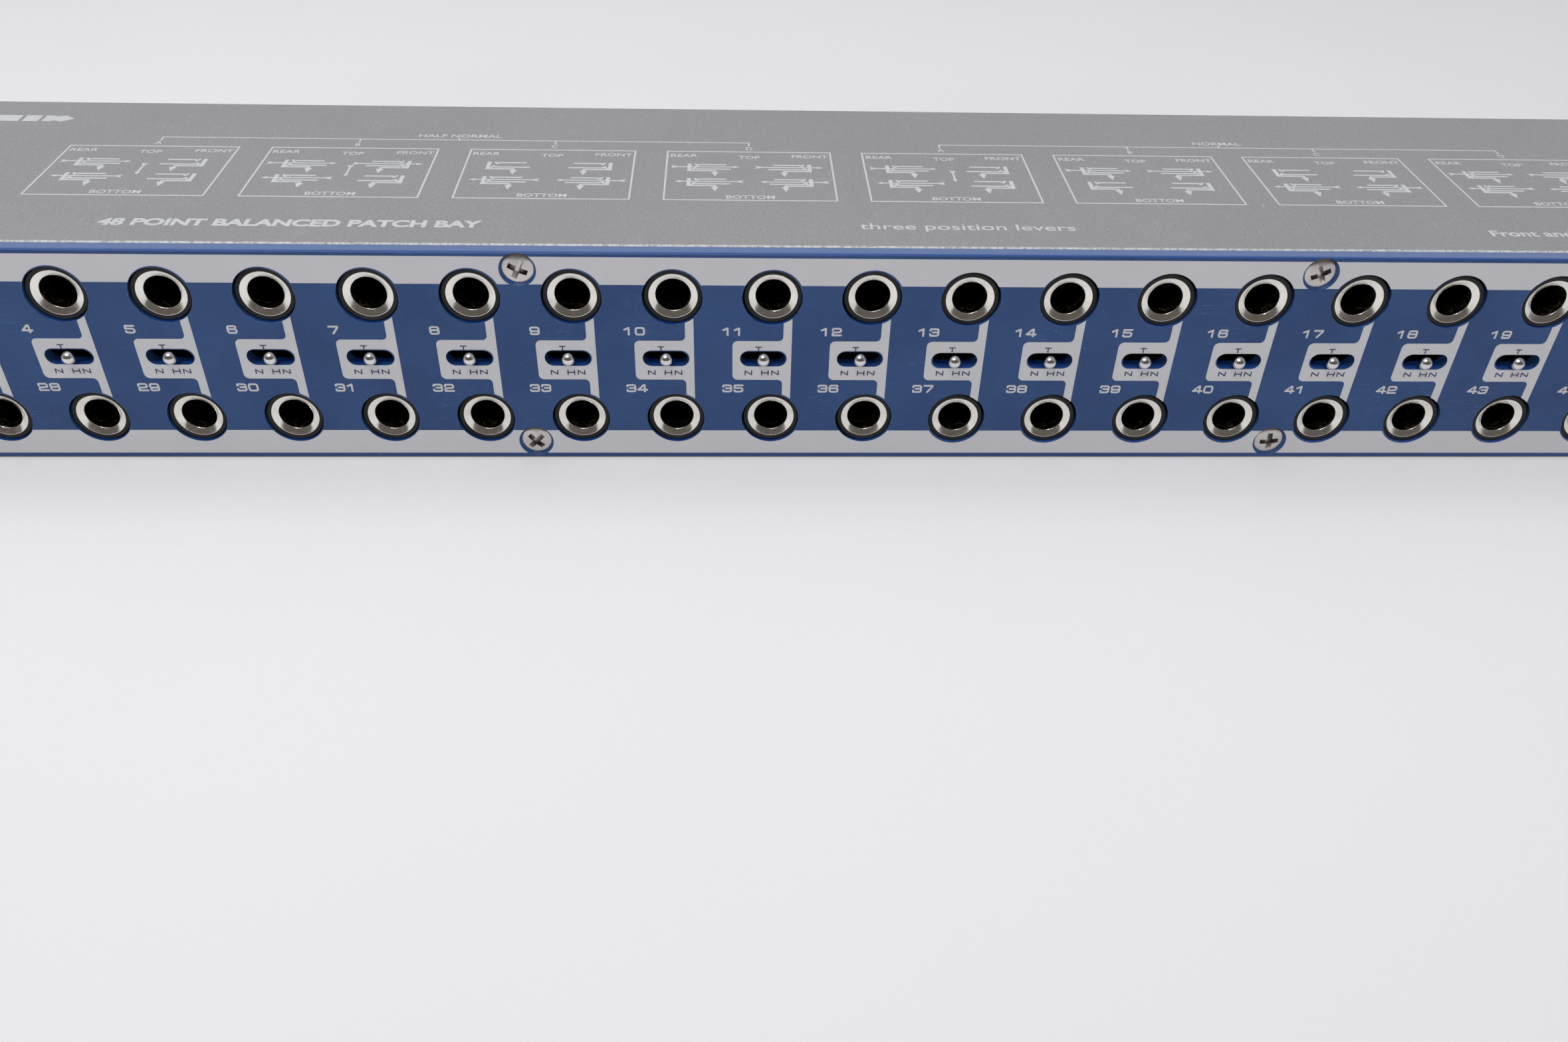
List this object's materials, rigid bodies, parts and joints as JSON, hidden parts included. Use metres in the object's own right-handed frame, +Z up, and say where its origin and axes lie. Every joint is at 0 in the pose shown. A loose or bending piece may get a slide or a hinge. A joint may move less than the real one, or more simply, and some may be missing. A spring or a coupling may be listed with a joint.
{
  "type": "audio patch bay",
  "caption": "Rack-mount audio patch bay: two rows of phone jack sockets on a blue front panel with a small lever switch per column, matching sockets on the back, grey sheet-metal case.",
  "frame": {"origin": "centre of the four rack slots, on the back face of the front panel, where it seats on the rack rails", "axes": "+X to the right seen from the front, +Y from the front to the back, +Z up"},
  "size_m": [0.4826, 0.073, 0.044],
  "materials": {
    "panel_paint": "dark blue satin paint",
    "cover_paint": "grey speckled satin paint",
    "chassis_paint": "grey satin paint",
    "rail_metal": "mill finish",
    "circuit_board": "solder resist over glass laminate",
    "black_plastic": "moulded satin",
    "nickel_plate": "bright nickel",
    "spring_bronze": "phosphor bronze strip",
    "contact_pins": "tinned",
    "switch_steel": "zinc plated",
    "screw_nickel": "nickel plated",
    "lever_nickel": "polished nickel"
  },
  "bodies": {
    "chassis": {"front_panel": "panel_paint", "rear_panel": "chassis_paint", "chassis_tray": "chassis_paint", "top_cover": "cover_paint", "board_rail": "rail_metal", "front_jack_board_left": "circuit_board", "front_jack_board_right": "circuit_board", "rear_jack_board_left": "circuit_board", "rear_jack_board_right": "circuit_board", "switch_board_left": "circuit_board", "switch_board_right": "circuit_board", "front_jack_housings": "black_plastic", "rear_jack_housings": "black_plastic", "front_jack_ferrules": "nickel_plate", "rear_jack_ferrules": "nickel_plate", "jack_tip_springs": "spring_bronze", "jack_ring_springs": "spring_bronze", "jack_sleeve_springs": "spring_bronze", "front_switching_contacts": "spring_bronze", "board_link_strips": "black_plastic", "board_link_pins": "contact_pins", "switch_board_headers": "black_plastic", "switch_board_pins": "contact_pins", "toggle_housings": "black_plastic", "toggle_frames": "switch_steel", "toggle_pivot_pins": "switch_steel", "toggle_terminals": "contact_pins", "front_panel_screws": "screw_nickel", "rear_panel_screws": "screw_nickel", "cover_side_screws": "screw_nickel", "rail_end_screws": "screw_nickel", "board_screws": "screw_nickel"},
    "lever_01": {"toggle_lever_01": "lever_nickel"},
    "lever_02": {"toggle_lever_02": "lever_nickel"},
    "lever_03": {"toggle_lever_03": "lever_nickel"},
    "lever_04": {"toggle_lever_04": "lever_nickel"},
    "lever_05": {"toggle_lever_05": "lever_nickel"},
    "lever_06": {"toggle_lever_06": "lever_nickel"},
    "lever_07": {"toggle_lever_07": "lever_nickel"},
    "lever_08": {"toggle_lever_08": "lever_nickel"},
    "lever_09": {"toggle_lever_09": "lever_nickel"},
    "lever_10": {"toggle_lever_10": "lever_nickel"},
    "lever_11": {"toggle_lever_11": "lever_nickel"},
    "lever_12": {"toggle_lever_12": "lever_nickel"},
    "lever_13": {"toggle_lever_13": "lever_nickel"},
    "lever_14": {"toggle_lever_14": "lever_nickel"},
    "lever_15": {"toggle_lever_15": "lever_nickel"},
    "lever_16": {"toggle_lever_16": "lever_nickel"},
    "lever_17": {"toggle_lever_17": "lever_nickel"},
    "lever_18": {"toggle_lever_18": "lever_nickel"},
    "lever_19": {"toggle_lever_19": "lever_nickel"},
    "lever_20": {"toggle_lever_20": "lever_nickel"},
    "lever_21": {"toggle_lever_21": "lever_nickel"},
    "lever_22": {"toggle_lever_22": "lever_nickel"},
    "lever_23": {"toggle_lever_23": "lever_nickel"},
    "lever_24": {"toggle_lever_24": "lever_nickel"}
  },
  "joints": [
    {"name": "lever_01_tilt", "type": "hinge", "parent": "chassis", "child": "lever_01", "pos_m": [-0.21066, 0.008, 0.00065], "axis": [0, 0, 1], "range_deg": [-13.5, 13.5]},
    {"name": "lever_02_tilt", "type": "hinge", "parent": "chassis", "child": "lever_02", "pos_m": [-0.19248, 0.008, 0.00065], "axis": [0, 0, 1], "range_deg": [-13.5, 13.5]},
    {"name": "lever_03_tilt", "type": "hinge", "parent": "chassis", "child": "lever_03", "pos_m": [-0.17428, 0.008, 0.00065], "axis": [0, 0, 1], "range_deg": [-13.5, 13.5]},
    {"name": "lever_04_tilt", "type": "hinge", "parent": "chassis", "child": "lever_04", "pos_m": [-0.1561, 0.008, 0.00065], "axis": [0, 0, 1], "range_deg": [-13.5, 13.5]},
    {"name": "lever_05_tilt", "type": "hinge", "parent": "chassis", "child": "lever_05", "pos_m": [-0.1379, 0.008, 0.00065], "axis": [0, 0, 1], "range_deg": [-13.5, 13.5]},
    {"name": "lever_06_tilt", "type": "hinge", "parent": "chassis", "child": "lever_06", "pos_m": [-0.11972, 0.008, 0.00065], "axis": [0, 0, 1], "range_deg": [-13.5, 13.5]},
    {"name": "lever_07_tilt", "type": "hinge", "parent": "chassis", "child": "lever_07", "pos_m": [-0.10153, 0.008, 0.00065], "axis": [0, 0, 1], "range_deg": [-13.5, 13.5]},
    {"name": "lever_08_tilt", "type": "hinge", "parent": "chassis", "child": "lever_08", "pos_m": [-0.08334, 0.008, 0.00065], "axis": [0, 0, 1], "range_deg": [-13.5, 13.5]},
    {"name": "lever_09_tilt", "type": "hinge", "parent": "chassis", "child": "lever_09", "pos_m": [-0.06514, 0.008, 0.00065], "axis": [0, 0, 1], "range_deg": [-13.5, 13.5]},
    {"name": "lever_10_tilt", "type": "hinge", "parent": "chassis", "child": "lever_10", "pos_m": [-0.04695, 0.008, 0.00065], "axis": [0, 0, 1], "range_deg": [-13.5, 13.5]},
    {"name": "lever_11_tilt", "type": "hinge", "parent": "chassis", "child": "lever_11", "pos_m": [-0.02876, 0.008, 0.00065], "axis": [0, 0, 1], "range_deg": [-13.5, 13.5]},
    {"name": "lever_12_tilt", "type": "hinge", "parent": "chassis", "child": "lever_12", "pos_m": [-0.01057, 0.008, 0.00065], "axis": [0, 0, 1], "range_deg": [-13.5, 13.5]},
    {"name": "lever_13_tilt", "type": "hinge", "parent": "chassis", "child": "lever_13", "pos_m": [0.00732, 0.008, 0.00035], "axis": [0, 0, 1], "range_deg": [-13.5, 13.5]},
    {"name": "lever_14_tilt", "type": "hinge", "parent": "chassis", "child": "lever_14", "pos_m": [0.0255, 0.008, 0.00035], "axis": [0, 0, 1], "range_deg": [-13.5, 13.5]},
    {"name": "lever_15_tilt", "type": "hinge", "parent": "chassis", "child": "lever_15", "pos_m": [0.04369, 0.008, 0.00035], "axis": [0, 0, 1], "range_deg": [-13.5, 13.5]},
    {"name": "lever_16_tilt", "type": "hinge", "parent": "chassis", "child": "lever_16", "pos_m": [0.06189, 0.008, 0.00035], "axis": [0, 0, 1], "range_deg": [-13.5, 13.5]},
    {"name": "lever_17_tilt", "type": "hinge", "parent": "chassis", "child": "lever_17", "pos_m": [0.08007, 0.008, 0.00035], "axis": [0, 0, 1], "range_deg": [-13.5, 13.5]},
    {"name": "lever_18_tilt", "type": "hinge", "parent": "chassis", "child": "lever_18", "pos_m": [0.09827, 0.008, 0.00035], "axis": [0, 0, 1], "range_deg": [-13.5, 13.5]},
    {"name": "lever_19_tilt", "type": "hinge", "parent": "chassis", "child": "lever_19", "pos_m": [0.11646, 0.008, 0.00035], "axis": [0, 0, 1], "range_deg": [-13.5, 13.5]},
    {"name": "lever_20_tilt", "type": "hinge", "parent": "chassis", "child": "lever_20", "pos_m": [0.13464, 0.008, 0.00035], "axis": [0, 0, 1], "range_deg": [-13.5, 13.5]},
    {"name": "lever_21_tilt", "type": "hinge", "parent": "chassis", "child": "lever_21", "pos_m": [0.15283, 0.008, 0.00035], "axis": [0, 0, 1], "range_deg": [-13.5, 13.5]},
    {"name": "lever_22_tilt", "type": "hinge", "parent": "chassis", "child": "lever_22", "pos_m": [0.17103, 0.008, 0.00035], "axis": [0, 0, 1], "range_deg": [-13.5, 13.5]},
    {"name": "lever_23_tilt", "type": "hinge", "parent": "chassis", "child": "lever_23", "pos_m": [0.18921, 0.008, 0.00035], "axis": [0, 0, 1], "range_deg": [-13.5, 13.5]},
    {"name": "lever_24_tilt", "type": "hinge", "parent": "chassis", "child": "lever_24", "pos_m": [0.20741, 0.008, 0.00035], "axis": [0, 0, 1], "range_deg": [-13.5, 13.5]}
  ]
}
